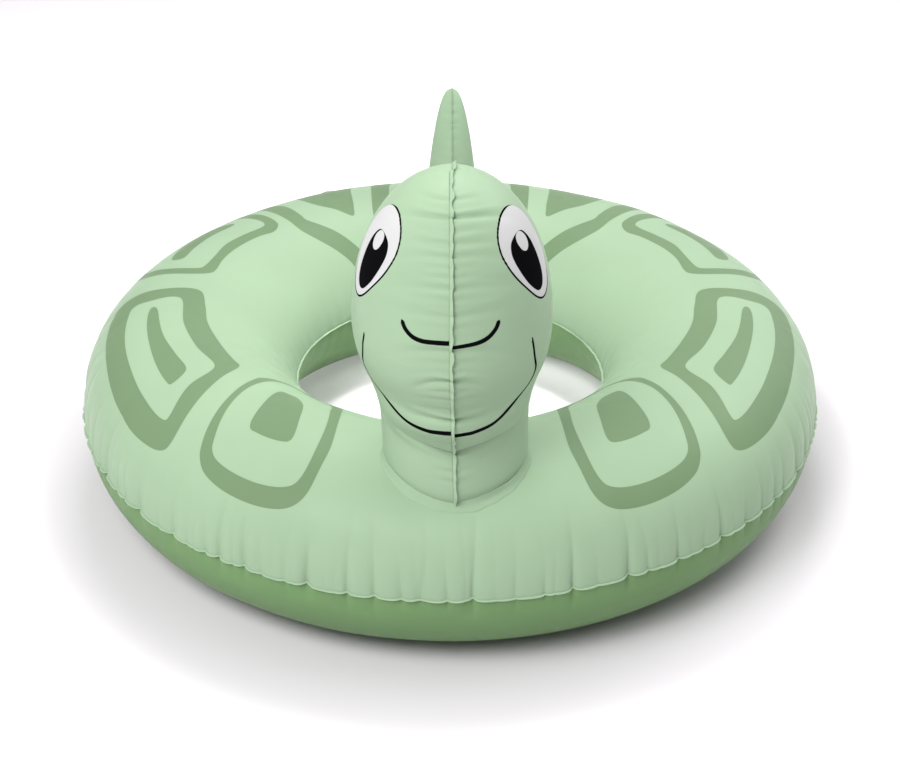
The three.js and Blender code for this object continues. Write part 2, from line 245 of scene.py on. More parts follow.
def top_section():
    start, end = OUTER_SEAM + EDGE_LIFT, INNER_SEAM + EDGE_LIFT
    outer = quarter(CREST_RADIUS, start, OUTER_RADIUS - CREST_RADIUS, CREST_HEIGHT - start, TOP_OUTER_POWER)
    inner = quarter(CREST_RADIUS, end, INNER_RADIUS - CREST_RADIUS, CREST_HEIGHT - end, TOP_INNER_POWER)
    return np.vstack([outer, inner[::-1][1:]])


def bottom_section():
    start, end = OUTER_SEAM - EDGE_LIFT, INNER_SEAM - EDGE_LIFT
    outer = quarter(FOOT_OUTER, start, OUTER_RADIUS - FOOT_OUTER, -start, BOTTOM_OUTER_POWER)
    inner = quarter(FOOT_INNER, end, INNER_RADIUS - FOOT_INNER, -end, BOTTOM_INNER_POWER)
    return np.vstack([outer, inner[::-1]])


def ring_top(radius):
    """The ring's top surface at a radius from the centre."""
    outside = radius > CREST_RADIUS
    seam = np.where(outside, OUTER_SEAM, INNER_SEAM)
    edge = np.where(outside, OUTER_RADIUS, INNER_RADIUS)
    power = np.where(outside, TOP_OUTER_POWER, TOP_INNER_POWER)
    part = np.clip(np.abs((radius - CREST_RADIUS) / (edge - CREST_RADIUS)), 0, 1)
    return seam + (CREST_HEIGHT - seam) * (1 - part**power) ** (1 / power)


# ---- Folds that run up and down from the outer weld ----

AROUND = 1800  # columns of the grids round the ring
# The deepest folds, in degrees clockwise from the tail; the others are placed by a seeded generator.
DEEP_FOLDS = (
    177, 163.5, 155.3, 147.3, 139, 190, 199.5, 209, 213.2, 222, 230, 241, 118, 262, 80, 300, 40, 340,
)
# The lowest and highest depth, length, width and sideways drift of each kind of fold, in mm.
DEEP_RANGES = ((3.0, 4.8), (75, 120), (3.0, 4.8), (-9, 9))
PLAIN_RANGES = ((0.9, 2.6), (35, 100), (2.2, 4.0), (-9, 9))
STREAK_RANGES = ((0.3, 0.8), (60, 135), (1.8, 3.4), (-12, 12))
PLAIN_STEPS = (0.030, 0.085)  # between plain folds, in radians
DEEP_CLEARANCE = 0.03  # no plain fold lies nearer to a deep one than this, in radians
STREAKS = 150


def fold_list():
    """Each fold's angle, depth, length, width and sideways drift, in radians and mm."""
    rng = np.random.default_rng(23)

    def fold(angle, ranges):
        return (angle, *[rng.uniform(low, high) for low, high in ranges])

    deep = [math.radians(a) for a in DEEP_FOLDS]
    folds = [fold(a, DEEP_RANGES) for a in deep]
    angle = 0
    while angle < 2 * math.pi:
        angle += rng.uniform(*PLAIN_STEPS)
        clear = min(abs((angle - a + math.pi) % (2 * math.pi) - math.pi) for a in deep)
        if clear > DEEP_CLEARANCE:
            folds.append(fold(angle, PLAIN_RANGES))
    for _ in range(STREAKS):
        folds.append(fold(rng.uniform(0, 2 * math.pi), STREAK_RANGES))
    return folds


FOLDS = fold_list()
FOLD_SIGHT = 0.12  # a fold has no effect beyond this angle, in radians
SEAM_RISE = 0.36  # how far a fold lifts the weld, as a share of its depth
SEAM_RISE_WIDTH = 1.2  # and how widely, as a share of its width


def fold_field(turns, distances, share=1.0):
    """Depth of the folds over a grid of distances from the weld (rows) and angles (columns), in metres."""
    field = np.zeros((len(distances), len(turns)))
    s = (distances / MM)[:, None]
    for angle, depth, length, width, drift in FOLDS:
        gap = (turns - angle + math.pi) % (2 * math.pi) - math.pi
        near = np.abs(gap) < FOLD_SIGHT
        reach = length * share
        rows = distances < reach * MM
        u = gap[near][None, :] * OUTER_RADIUS / MM - drift * (s[rows] / length) ** 1.5
        left = 1 - s[rows] / reach
        w = width * (0.75 + 1.1 * (1 - left))
        sharp = np.exp(-(np.abs(u) / w) ** 1.35)
        broad = 0.4 * np.exp(-((u / (3.3 * w)) ** 2))
        block = depth * left**1.35 * (sharp + broad)
        field[np.ix_(rows, near)] += block * MM
    return field


def seam_lift(turns):
    """How far the weld rises at the folds; between them it hangs in shallow lobes."""
    lift = np.zeros_like(turns)
    for angle, depth, _, width, _ in FOLDS:
        gap = (turns - angle + math.pi) % (2 * math.pi) - math.pi
        u = np.abs(gap) * OUTER_RADIUS / MM
        lift = lift + SEAM_RISE * depth * np.exp(-u / (SEAM_RISE_WIDTH * width))
    return (lift - lift.mean()) * MM


TURNS = (np.arange(AROUND) + 0.5) / AROUND * 2 * math.pi
SEAM_LIFT = seam_lift(TURNS)
PUFF = 2.4 * MM  # the films stand out this far past the CAD edge between the folds
SEAM_PULL = fold_field(TURNS, np.array([0.0]))[0] - PUFF


def ring_surface(section, count, sign, share):
    """A panel's points: rows from the outer weld to the inner one, columns round the ring."""
    line, distance = resample(section, count)
    tangent = unit(np.gradient(line, axis=0))
    normal = sign * np.stack([tangent[:, 1], -tangent[:, 0]], 1)
    sink = fold_field(TURNS, distance, share)
    belly = np.sin(np.pi * distance / distance[-1])[:, None]
    swell = 0.5 * MM * soft_noise(TURNS, 5, 8, 3, 17)[None, :] * belly
    move = swell * sign - sink + PUFF * np.exp(-distance / (40 * MM))[:, None]
    inner = distance[-1] - distance
    pucker = 0.35 * MM * soft_noise(TURNS, 9, 9, 30, 70)[None, :] * np.exp(-inner / (16 * MM))[:, None]
    move = move + pucker
    if sign < 0:
        move = move * np.clip(line[:, 1] / (12 * MM), 0, 1)[:, None]
    radius = line[:, 0][:, None] + normal[:, 0][:, None] * move
    height = line[:, 1][:, None] + normal[:, 1][:, None] * move
    height = height + SEAM_LIFT[None, :] * np.exp(-distance / (11 * MM))[:, None]
    points = np.stack([radius * np.sin(TURNS), radius * np.cos(TURNS), height], -1)
    return points, distance


# ---- Printed shell pattern ----
# Each outline is given in degrees from the tail and millimetres from the ring's crest, outwards positive.

SHELL = {
    "side_frame": (
        [(84, -3), (91, -17), (99, -21), (109, -29), (117, -33), (121.6, -31), (125.5, 7), (130, 60),
         (132.3, 99), (131, 115), (124.5, 119), (116, 114), (105, 108), (92, 108), (86, 103), (83.6, 80),
         (83.2, 45)],
        [(88, 15), (99.5, 7), (110, 0), (119.8, -5), (123.5, 37), (127.6, 76), (126.8, 86), (118.5, 83),
         (109, 79.5), (93, 79), (88.6, 75), (87.8, 55)],
    ),
    "side_bar": (
        [(92, 51), (92.3, 40), (103.6, 32), (111, 26), (117.8, 25), (120.6, 49), (118.6, 53), (106, 50.5)],
    ),
    "rear_frame": (
        [(73.5, 118), (75.4, 93), (76.3, 58), (76.6, 22), (75.5, -1), (73.2, -6), (67.9, -2), (62, -1),
         (54, -4), (49.8, -9), (46.9, -2), (45.4, 12), (44.6, 45), (45.2, 85), (47.5, 106), (54, 122),
         (64, 130), (71, 128)],
        [(72, 104), (73.2, 77), (73.9, 49), (73.7, 19), (72, 12), (67, 13), (61, 18), (55, 15.5),
         (49.8, 12.5), (47.8, 20), (47.3, 45), (48, 76), (52, 94), (60, 104), (68, 108)],
    ),
    "rear_bar": (
        [(68.9, 72), (69.1, 53), (64, 55.5), (58, 57.5), (51.4, 55), (51.4, 72), (55, 86), (62.5, 84)],
    ),
    "rear_band": (
        [(39.8, 92), (38.4, 62), (38.4, 32), (38.9, 5), (39.2, -11), (37.2, -30), (34.8, -48), (32.2, -71),
         (30, -94), (28.8, -130), (28.6, -169), (33.4, -169), (34.2, -135), (35.2, -105), (37.6, -83),
         (41.1, -56), (43, -35), (43.4, -20), (42.9, 5), (42.5, 35), (42.2, 65), (42.8, 94), (41.6, 101)],
    ),
    "rear_triangle": (
        [(33, 82), (33.6, 50), (32.8, 20), (30.4, -4), (27.3, -29), (25.4, -10), (24, 14), (22, 55),
         (20.6, 84), (23.5, 95), (30, 93)],
    ),
    "tail_strip": (
        [(14, 96), (16.4, 76), (18.9, 20), (21.5, -31), (23.6, -78), (23.4, -104), (21.6, -106), (19, -70),
         (16.4, -21), (14.8, 15), (13, 58), (10.8, 90)],
    ),
    "front_frame": (
        [(131.6, -86), (128.9, -72), (127.6, -46), (128.8, -26), (132.9, 28), (137.1, 79), (139, 98),
         (141.6, 111), (146.5, 119.5), (152.5, 121), (156.6, 114), (158.6, 95), (158.9, 61), (158.4, 25),
         (155.8, -21), (152.3, -60), (148, -90), (140, -100)],
        [(132.8, -81), (130, -66), (130, -40), (133.1, 10), (138, 64), (140.4, 86), (144, 95),
         (150.1, 98.5), (154.8, 94), (156.6, 80), (156.5, 45), (154.8, -1), (151.6, -38), (147.6, -68),
         (140, -82)],
    ),
    "front_bar": (
        [(135.7, -40), (137, -48), (141, -47), (145.6, -29), (149.4, 7), (151.1, 34), (149.6, 42),
         (144.6, 42), (141.8, 35), (138.4, -6)],
    ),
}
PRINT_REACH = 12  # distances to a printed outline are cut off at this many mm


def shell_distance(distance):
    """Signed distance to the printed pattern over the upper panel, in millimetres, negative where printed."""
    crest = distance[np.argmax(resample(top_section(), len(distance))[0][:, 1])]
    across = (crest - distance) / MM
    turn = np.degrees(np.abs((TURNS + math.pi) % (2 * math.pi) - math.pi))
    scale = math.radians(1) * CREST_RADIUS / MM
    u, v = np.meshgrid(turn * scale, across)
    points = np.stack([u.ravel(), v.ravel()], 1)
    total = np.full(len(points), float(PRINT_REACH))
    for outlines in SHELL.values():
        loops = [spline(np.array(o) * (scale, 1), True) for o in outlines]
        value = signed_distance(points, loops[0], PRINT_REACH)
        for hole in loops[1:]:
            value = np.maximum(value, -signed_distance(points, hole, PRINT_REACH))
        total = np.minimum(total, value)
    return total


# ---- Materials ----


class Nodes:
    """A node tree, built one node at a time."""

    def __init__(self, tree):
        self.tree = tree

    def node(self, kind, **settings):
        made = self.tree.nodes.new(kind)
        for key, value in settings.items():
            setattr(made, key, value)
        return made

    def wire(self, value, socket):
        if isinstance(value, bpy.types.NodeSocket):
            self.tree.links.new(value, socket)
        else:
            socket.default_value = value

    def maths(self, operation, first, second=None, third=None, clamp=False):
        made = self.node("ShaderNodeMath", operation=operation, use_clamp=clamp)
        for socket, value in zip(made.inputs, (first, second, third)):
            if value is not None:
                self.wire(value, socket)
        return made.outputs[0]


class Shader(Nodes):
    """A material's node tree."""

    def __init__(self, name):
        self.material = bpy.data.materials.new(name)
        self.material.use_nodes = True
        super().__init__(self.material.node_tree)
        self.tree.nodes.clear()
        self.output = self.tree.nodes.new("ShaderNodeOutputMaterial")

    def attribute(self, name):
        return self.node("ShaderNodeAttribute", attribute_name=name).outputs["Fac"]

    def place(self):
        return self.node("ShaderNodeTexCoord").outputs["Object"]

    def noise(self, scale, detail=3.0, roughness=0.5):
        made = self.node("ShaderNodeTexNoise")
        self.wire(self.place(), made.inputs["Vector"])
        made.inputs["Scale"].default_value = scale
        made.inputs["Detail"].default_value = detail
        made.inputs["Roughness"].default_value = roughness
        return made.outputs["Fac"]

    def span(self, value, low, high):
        made = self.node("ShaderNodeMapRange")
        self.wire(value, made.inputs["Value"])
        made.inputs["From Min"].default_value = 0.3
        made.inputs["From Max"].default_value = 0.7
        made.inputs["To Min"].default_value = low
        made.inputs["To Max"].default_value = high
        return made.outputs["Result"]

    def mix(self, factor, first, second):
        made = self.node("ShaderNodeMix", data_type="RGBA")
        self.wire(factor, made.inputs["Factor"])
        self.wire(first, made.inputs[6])
        self.wire(second, made.inputs[7])
        return made.outputs[2]

    def within(self, distance, soft=0.35):
        """1 where a signed distance in millimetres is below zero, with a narrow soft edge."""
        return self.maths("MULTIPLY_ADD", distance, -1 / soft, 0.5, clamp=True)

    def shade(self, colour, factor):
        """The colour times a grey factor."""
        made = self.node("ShaderNodeVectorMath", operation="SCALE")
        self.wire(colour if isinstance(colour, bpy.types.NodeSocket) else colour[:3], made.inputs[0])
        self.wire(factor, made.inputs["Scale"])
        return made.outputs[0]

    def finish(self, colour, rough_low, rough_high, grain=0.1, ripple=0.25, matte=None):
        bsdf = self.node("ShaderNodeBsdfPrincipled")
        varied = self.shade(colour, self.span(self.noise(9.0, 2.0), 0.975, 1.02))
        self.wire(varied, bsdf.inputs["Base Color"])
        self.wire(self.span(self.noise(60.0, 4.0), rough_low, rough_high), bsdf.inputs["Roughness"])
        bsdf.inputs["IOR"].default_value = 1.5
        bsdf.inputs["Specular IOR Level"].default_value = 0.07
        broad = self.node("ShaderNodeBump")
        broad.inputs["Strength"].default_value = ripple
        broad.inputs["Distance"].default_value = 0.0012
        self.wire(self.noise(22.0, 2.0, 0.4), broad.inputs["Height"])
        fine = self.node("ShaderNodeBump")
        fine.inputs["Strength"].default_value = grain
        fine.inputs["Distance"].default_value = 0.0002
        self.wire(self.noise(900.0, 2.0), fine.inputs["Height"])
        self.wire(broad.outputs["Normal"], fine.inputs["Normal"])
        self.wire(fine.outputs["Normal"], bsdf.inputs["Normal"])
        surface = bsdf.outputs["BSDF"]
        if matte is not None:
            ink = self.node("ShaderNodeBsdfDiffuse")
            self.wire(varied, ink.inputs["Color"])
            both = self.node("ShaderNodeMixShader")
            self.wire(self.maths("MULTIPLY", matte, 0.95), both.inputs[0])
            self.wire(surface, both.inputs[1])
            self.wire(ink.outputs["BSDF"], both.inputs[2])
            surface = both.outputs[0]
        self.wire(surface, self.output.inputs["Surface"])
        return self.material


LIGHT_GREEN = (0.262, 0.367, 0.244, 1)
PRINT_GREEN = (0.132, 0.204, 0.111, 1)
UNDER_GREEN = (0.136, 0.240, 0.103, 1)
# The welds' green is the film's own green made a little lighter: a painted highlight along the weld lips.
WELD_GREEN_WITH_PAINTED_HIGHLIGHT = (0.270, 0.376, 0.252, 1)
INK_BLACK = (0.003, 0.003, 0.0035, 1)
EYE_WHITE = (0.45, 0.45, 0.45, 1)
VALVE_WHITE = (0.34, 0.39, 0.34, 1)
SATIN = (0.34, 0.46)  # lowest and highest roughness of the printed and plain films


def plain_vinyl(name, colour, roughness=SATIN):
    return Shader(name).finish(colour, *roughness)


def shell_vinyl():
    shader = Shader("upper_vinyl_print")
    printed = shader.within(shader.attribute("shell"))
    colour = shader.mix(printed, LIGHT_GREEN, PRINT_GREEN)
    return shader.finish(colour, *SATIN)


def face_vinyl():
    shader = Shader("skin_vinyl_face")
    white = shader.attribute("eye_white")
    rim = shader.maths("SUBTRACT", shader.maths("ABSOLUTE", white), shader.attribute("eye_rim"))
    colour = shader.mix(shader.within(white), LIGHT_GREEN, EYE_WHITE)
    glint = shader.within(shader.attribute("eye_glint"))
    ink = shader.maths("SUBTRACT", shader.within(shader.attribute("eye_pupil")), glint, clamp=True)
    lines = [rim]
    for name in ("nose", "mouth"):
        away = shader.maths("ABSOLUTE", shader.attribute(name + "_away"))
        lines.append(shader.maths("SUBTRACT", away, shader.attribute(name + "_half")))
    for line in lines:
        ink = shader.maths("MAXIMUM", ink, shader.within(line))
    colour = shader.mix(ink, colour, INK_BLACK)
    return shader.finish(colour, *SATIN, matte=ink)


SHELL_VINYL = shell_vinyl()
FACE_VINYL = face_vinyl()
UNDER_VINYL = plain_vinyl("lower_vinyl_plain", UNDER_GREEN)
SKIN_VINYL = plain_vinyl("skin_vinyl_plain", LIGHT_GREEN)
# The weld material's colour carries a painted highlight.
WELD_VINYL = plain_vinyl("weld_vinyl_plain", WELD_GREEN_WITH_PAINTED_HIGHLIGHT, (0.28, 0.4))
VALVE_VINYL = plain_vinyl("valve_vinyl_plain", VALVE_WHITE, (0.25, 0.36))


def paint(obj, material):
    obj.data.materials.clear()
    obj.data.materials.append(material)
    return obj


# ---- Ring ----


def ring_panels():
    points, distance = ring_surface(top_section(), 130, 1, 1.0)
    faces = punched(points, grid_faces(points, close_columns=True, flip=True), "ring")
    top = make_object("ring_top_film", points, faces, "float", ["ring_upper_panel"])
    put_attribute(top, "shell", shell_distance(distance))
    paint(top, SHELL_VINYL)
    points, _ = ring_surface(bottom_section(), 96, -1, 0.3)
    faces = grid_faces(points, close_columns=True)
    under = make_object("ring_under_film", points, faces, "float", ["ring_lower_panel"])
    paint(under, UNDER_VINYL)


def weld_ring(name, node, edge, height, reach, pull, lift, droop):
    """A thin weld flange round the ring; reach is negative where it points to the hole."""
    sign = math.copysign(1, reach)
    out = abs(reach)
    section = [(-1.5, 0.36), (0.3 * out, 0.4), (0.7 * out, 0.38), (0.93 * out, 0.26), (out, 0.0),
               (0.93 * out, -0.26), (0.7 * out, -0.38), (-1.5, -0.36)]
    rows = []
    for across, up in section:
        wave = 0.25 * soft_noise(TURNS, 31, 8, 20, 60) * max(across, 0) / out
        radius = edge - pull + sign * (across + wave) * MM
        level = height + lift + (up - droop * max(across / out, 0) ** 2) * MM
        rows.append(np.stack([radius * np.sin(TURNS), radius * np.cos(TURNS), level], -1))
    points = np.array(rows)
    faces = grid_faces(points, close_rows=True, close_columns=True, flip=reach > 0)
    weld = make_object(name, points, faces, "float", [node])
    return paint(weld, WELD_VINYL)


# ---- Head and neck ----

# Height, front, back and half width of the head, in mm.
HEAD_STATIONS = np.array([
    [205, -405, -261, 76], [240, -403.5, -260, 75.5], [255, -402, -258.5, 75.8], [262, -403, -257.8, 76],
    [272, -407.5, -257, 76.3], [280, -413, -256, 76.7], [287, -419, -255.3, 77.2],
    [292, -423, -254.3, 77.8], [297, -425.8, -253, 78.6], [303, -427.3, -251.5, 79.7],
    [310, -428, -249, 81.8], [320, -426.8, -245.5, 85.6], [335, -432.8, -240.5, 91.3],
    [350, -440, -236, 95.6], [365, -444.2, -232.5, 98.4], [380, -446, -230, 99.6],
]) * MM
CROWN_Y = -338 * MM
WIDEST = HEAD_STATIONS[-1, 0]
NECK_BASE = HEAD_STATIONS[0, 0]
NECK_BLEND = 240 * MM
NECK_TUCK = 6 * MM
FOOT_GAP = 1.2 * MM  # from the ring's top to a limb's film
HALF_GAP = 0.25 * MM  # from the weld's middle to each film of a limb


def head_outline(level):
    """Front, back and half width of the head at a level."""
    front, back, half = (smooth_values(level, HEAD_STATIONS[:, 0], HEAD_STATIONS[:, k]) for k in (1, 2, 3))
    part = np.clip((level - WIDEST) / (HEAD_TOP - WIDEST), 0, 1)
    shrink = [(1 - part**p) ** (1 / p) for p in (2.2, 2.1, 2.1)]
    crown = level > WIDEST
    front = np.where(crown, CROWN_Y + (HEAD_STATIONS[-1, 1] - CROWN_Y) * shrink[0], front)
    back = np.where(crown, CROWN_Y + (HEAD_STATIONS[-1, 2] - CROWN_Y) * shrink[1], back)
    half = np.where(crown, HEAD_STATIONS[-1, 3] * shrink[2], half)
    tuck = NECK_TUCK * np.clip(1 - (level - NECK_BASE) / (18 * MM), 0, 1) ** 2
    return front + 1.3 * tuck, back - tuck, half - tuck


WELD_SHIFT = -2.6 * MM  # the weld runs this far beside the middle of the face


def head_lean(height):
    """The neck stands a little to one side of the middle, and the head less so."""
    return (2.0 + 4.0 * np.clip((WIDEST - height) / (WIDEST - CREST_HEIGHT), 0, 1)) * MM


def head_points(level, angle, side):
    """Points of the head's surface at levels and at angles from the face (0) round to the back."""
    front, back, half = head_outline(level)
    ridge = 0.05 * np.clip(1 - np.abs(np.sin(angle)), 0, 1) ** 2 * np.cos(angle)
    across = half * np.abs(np.sin(angle))
    y = (front + back) / 2 - (back - front) / 2 * (np.cos(angle) + ridge)
    foot = ring_top(np.hypot(across, y)) + FOOT_GAP
    part = np.clip((level - NECK_BASE) / (NECK_BLEND - NECK_BASE), 0, 1)
    z = foot + (NECK_BLEND - foot) * part
    z = np.where(level < NECK_BLEND, z, level)
    x = side * (across + HALF_GAP) + head_lean(z) + WELD_SHIFT * np.clip(np.cos(angle), 0, 1) ** 4
    return np.stack([x, y, z], -1)


def head_levels(count_low=130, count_high=95):
    low = np.linspace(NECK_BASE, WIDEST, count_low, endpoint=False)
    high = WIDEST + (HEAD_TOP - WIDEST) * np.sin(np.linspace(0, math.pi / 2, count_high))
    return np.r_[low, high]


# Puckers that cross the head's weld: height, depth, reach to each side, width, and how much they arch, in mm.
HEAD_PUCKERS = (
    (536, 1.4, 34, 2.2, 0.003), (526, 1.2, 30, 2.0, 0.003), (516, 3.0, 50, 1.9, 0.0035),
    (507, 0.9, 34, 2.0, 0.003), (498, 1.5, 40, 2.4, 0.003), (488, 1.5, 46, 2.4, 0.003),
    (479, 0.8, 36, 2.2, 0.003), (471, 1.2, 50, 2.6, 0.003), (462, 2.0, 54, 2.8, 0.002),
    (452, 1.0, 40, 2.4, 0.001), (444, 0.9, 34, 2.2, 0.001), (437, 2.0, 52, 2.8, 0.0005),
    (426, 0.8, 36, 2.2, 0.0), (403, 2.6, 44, 2.6, 0.004), (391, 1.0, 34, 2.2, 0.003),
    (381, 0.8, 30, 2.2, 0.006), (370, 3.8, 27, 2.6, 0.010), (357, 0.9, 26, 2.4, 0.004),
    (345.5, 1.1, 30, 2.6, 0.001), (330, 0.9, 26, 2.4, 0.0), (315, 4.2, 40, 2.4, 0.0003),
    (240, 1.0, 24, 2.4, 0.0), (228, 0.8, 20, 2.2, 0.0),
)


def head_relief(levels, angles, base):
    """How far the head's film sinks at its puckers and creases, in metres."""
    steps = np.linalg.norm(np.diff(base[:, 0], axis=0), axis=1)
    climb = np.r_[0, np.cumsum(steps)] / MM
    heights = base[:, 0, 2] / MM
    around = np.linalg.norm(np.diff(base, axis=1), axis=2)
    from_face = np.hstack([np.zeros((len(levels), 1)), np.cumsum(around, axis=1)]) / MM
    from_back = from_face[:, -1:] - from_face
    sink = np.zeros(from_face.shape)
    for height, depth, reach, width, arch in HEAD_PUCKERS:
        along = climb[:, None] - np.interp(height, heights, climb) + arch * from_face**2
        w = width * (0.8 + 0.9 * np.clip(from_face / reach, 0, 1.5))
        fade = np.exp(-((from_face / reach) ** 2.2))
        furrow = np.exp(-((np.abs(along) / w) ** 1.5))
        bulge = 0.35 * np.exp(-(((along - 2.4 * w) / w) ** 2))
        sink += depth * fade * (furrow - bulge)
    rng = np.random.default_rng(3)
    place = 8.0
    while place < climb[-1]:
        depth, reach, width = rng.uniform(0.5, 1.4), rng.uniform(14, 34), rng.uniform(2.0, 3.4)
        along = climb[:, None] - place
        w = width * (0.8 + 0.8 * from_back / reach)
        sink += depth * np.exp(-((from_back / reach) ** 1.6)) * np.exp(-((np.abs(along) / w) ** 1.5))
        place += rng.uniform(9, 17)
    # One deep crease runs under the chin, and a shallow one under the jaw.
    degrees = np.degrees(angles)[None, :]
    z = base[..., 2] / MM
    chin = z - (259 + 0.38 * degrees)
    sink += 5.0 * np.clip(1 - degrees / 53, 0, 1) ** 0.6 * np.exp(-((np.abs(chin) / 3.0) ** 1.5))
    jaw = z - (246 + 0.35 * degrees)
    sink += 0.8 * np.clip(1 - np.abs(degrees - 62) / 40, 0, 1) * np.exp(-((jaw / 5.0) ** 2))
    return sink * MM


# ---- Printed face: angles in degrees from the middle of the face, heights in mm ----

NOSE = [(0, 411.8), (8, 411.4), (14.5, 411), (19.5, 412.3), (23, 415.2), (26, 420), (28, 426)]
MOUTH = [(0, 300.6), (9, 300), (17.5, 299.8), (33.5, 304.6), (48.5, 319.5), (58, 335), (60.3, 352),
         (56.8, 369.5), (53.5, 393)]
MOUTH_SPREAD = {-1: 1.075, 1: 0.945}  # the smile is printed wider on the left film than on the right one
EYE_CENTRE = (57.5, 476.5)
EYE_SHIFT = (2.1, -0.75)  # the left eye's own shift, in degrees and mm; the right eye has the opposite one
# The eye's outlines lie in the plane that touches the head at the eye's centre: forwards and up, in mm.
EYE_WHITE_LINE = [(-24, 39), (-10, 41.5), (4, 37.5), (17, 28), (24.6, 15), (25.8, 0), (21, -16),
                  (10, -33), (-5, -48.5), (-19, -53.5), (-33, -46), (-42, -27), (-45, -6), (-43, 13),
                  (-36, 29)]
EYE_PUPIL_LINE = [(-11, 17.2), (1, 16), (11, 10.5), (15.2, 0), (12.6, -15), (4, -32), (-8, -43.4),
                  (-18, -43), (-24, -34), (-25, -20), (-22.6, 0), (-18, 11.5)]
EYE_GLINT_LINE = [(-9, 17), (-1, 15.4), (1.8, 9), (-1, 0.6), (-7, -2.6), (-13, 0.2), (-15.6, 6),
                  (-14.4, 12)]
# The right film is welded this many mm lower at the middle of the face, so printed lines step there.
RIGHT_SLIP = -4.8
LINE_REACH = 12 * MM  # distances to a printed line are cut off here
LINE_ZONE = 8  # farther from a line than this, in mm, nothing is printed
NO_LINE = -12  # a line's half width where nothing is printed


def line_on_head(controls, side, share=1.0):
    curve = spline(controls, False, 14)
    slip = share * RIGHT_SLIP * np.exp(-((curve[:, 0] / 17) ** 1.6)) if side > 0 else 0
    return head_points((curve[:, 1] + slip) * MM, np.radians(curve[:, 0]), side)


def open_line(points, normals, line):
    """Signed distance across a line on the surface and the distance along it, in mm."""
    best = np.full(len(points), 1e9)
    across, along = np.zeros(len(points)), np.zeros(len(points))
    start = 0.0
    for a, b in zip(line[:-1], line[1:]):
        d = b - a
        size = np.linalg.norm(d)
        d = d / size
        rel = points - a
        t = rel @ d
        gap = np.linalg.norm(rel - np.clip(t, 0, size)[:, None] * d, axis=1)
        closer = gap < best
        best = np.where(closer, gap, best)
        sideways = np.einsum("ij,ij->i", rel, np.cross(d, normals))
        across = np.where(closer, sideways, across)
        along = np.where(closer, start + t, along)
        start += size
    across = np.where(best > LINE_REACH, np.copysign(LINE_REACH, across), across)
    return across / MM, along / MM, start / MM


def print_face(obj, points, normals, side):
    line = line_on_head(NOSE, side)
    away, along, length = open_line(points, normals, line)
    put_attribute(obj, "nose_away", away)
    half = 2.3 * np.clip((length + 1.5 - along) / 1.8, -1, 1)
    put_attribute(obj, "nose_half", np.where(np.abs(away) > LINE_ZONE, NO_LINE, half))
    line = line_on_head(np.array(MOUTH) * (MOUTH_SPREAD[side], 1), side, 0.75)
    away, along, length = open_line(points, normals, line)
    half = np.interp(along / length, [0, 0.12, 0.3, 0.6, 1], [3.0, 2.8, 2.0, 1.7, 1.5])
    put_attribute(obj, "mouth_away", away)
    half = np.where(along > length, -1, half)
    put_attribute(obj, "mouth_half", np.where(np.abs(away) > LINE_ZONE, NO_LINE, half))
    print_eye(obj, points, normals, side)


def print_eye(obj, points, normals, side):
    angle = math.radians(EYE_CENTRE[0] - side * EYE_SHIFT[0])
    height = (EYE_CENTRE[1] - side * EYE_SHIFT[1]) * MM
    spots = head_points(np.array([height, height, height + MM]), np.array([angle, angle - 0.01, angle]), side)
    forward = unit(spots[1] - spots[0])
    up = unit(spots[2] - spots[0])
    normal = unit(np.cross(up, forward) * side)
    forward = unit(forward - forward[2] * np.array([0, 0, 1]))
    up = unit(np.cross(forward, normal) * side)
    facing = normals @ normal > -0.2
    flat = np.stack([(points - spots[0]) @ forward, (points - spots[0]) @ up], 1) / MM
    flat[~facing] = 500
    for name, line in (("white", EYE_WHITE_LINE), ("pupil", EYE_PUPIL_LINE), ("glint", EYE_GLINT_LINE)):
        put_attribute(obj, "eye_" + name, signed_distance(flat, spline(line, True), PRINT_REACH))
    around = np.arctan2(flat[:, 1], flat[:, 0])
    crinkle = 1 + 0.22 * soft_noise(around, 61, 9, 20, 60) * (flat[:, 0] > 0) * (flat[:, 1] > -12)
    fade = np.clip((flat[:, 0] - 0.35 * flat[:, 1] + 38) / 16, 0, 1)
    put_attribute(obj, "eye_rim", crinkle * fade)


def outward_normals(points, side):
    """The normals of a limb's half, facing away from the limb's middle."""
    along = np.gradient(points, axis=0)
    around = np.gradient(points, axis=1)
    normals = unit(np.cross(around, along))
    rows, columns = points.shape[:2]
    return normals if normals[rows // 4, columns // 2, 0] * side > 0 else -normals


def sunk(base, normals, depth):
    """The film's points with its puckers sunk in; where it meets the weld it stays in the weld's plane."""
    points = base - normals * depth[..., None]
    points[:, [0, -1], 0] = base[:, [0, -1], 0]
    return points


def head_half(name, node, side):
    levels = head_levels()
    angles = np.linspace(0, math.pi, 150)
    level, angle = np.meshgrid(levels, angles, indexing="ij")
    base = head_points(level, angle, side)
    normals = outward_normals(base, side)
    top_fade = np.clip((HEAD_TOP - level) / (2 * MM), 0, 1)
    points = sunk(base, normals, head_relief(levels, angles, base) * top_fade)
    faces = grid_faces(points, flip=side > 0)
    if side < 0:
        faces = punched(points, faces, "head")
    half = make_object(name, points, faces, "float", [node])
    print_face(half, base.reshape(-1, 3), normals.reshape(-1, 3), side)
    merge_close(half)
    paint(half, FACE_VINYL)
    return points


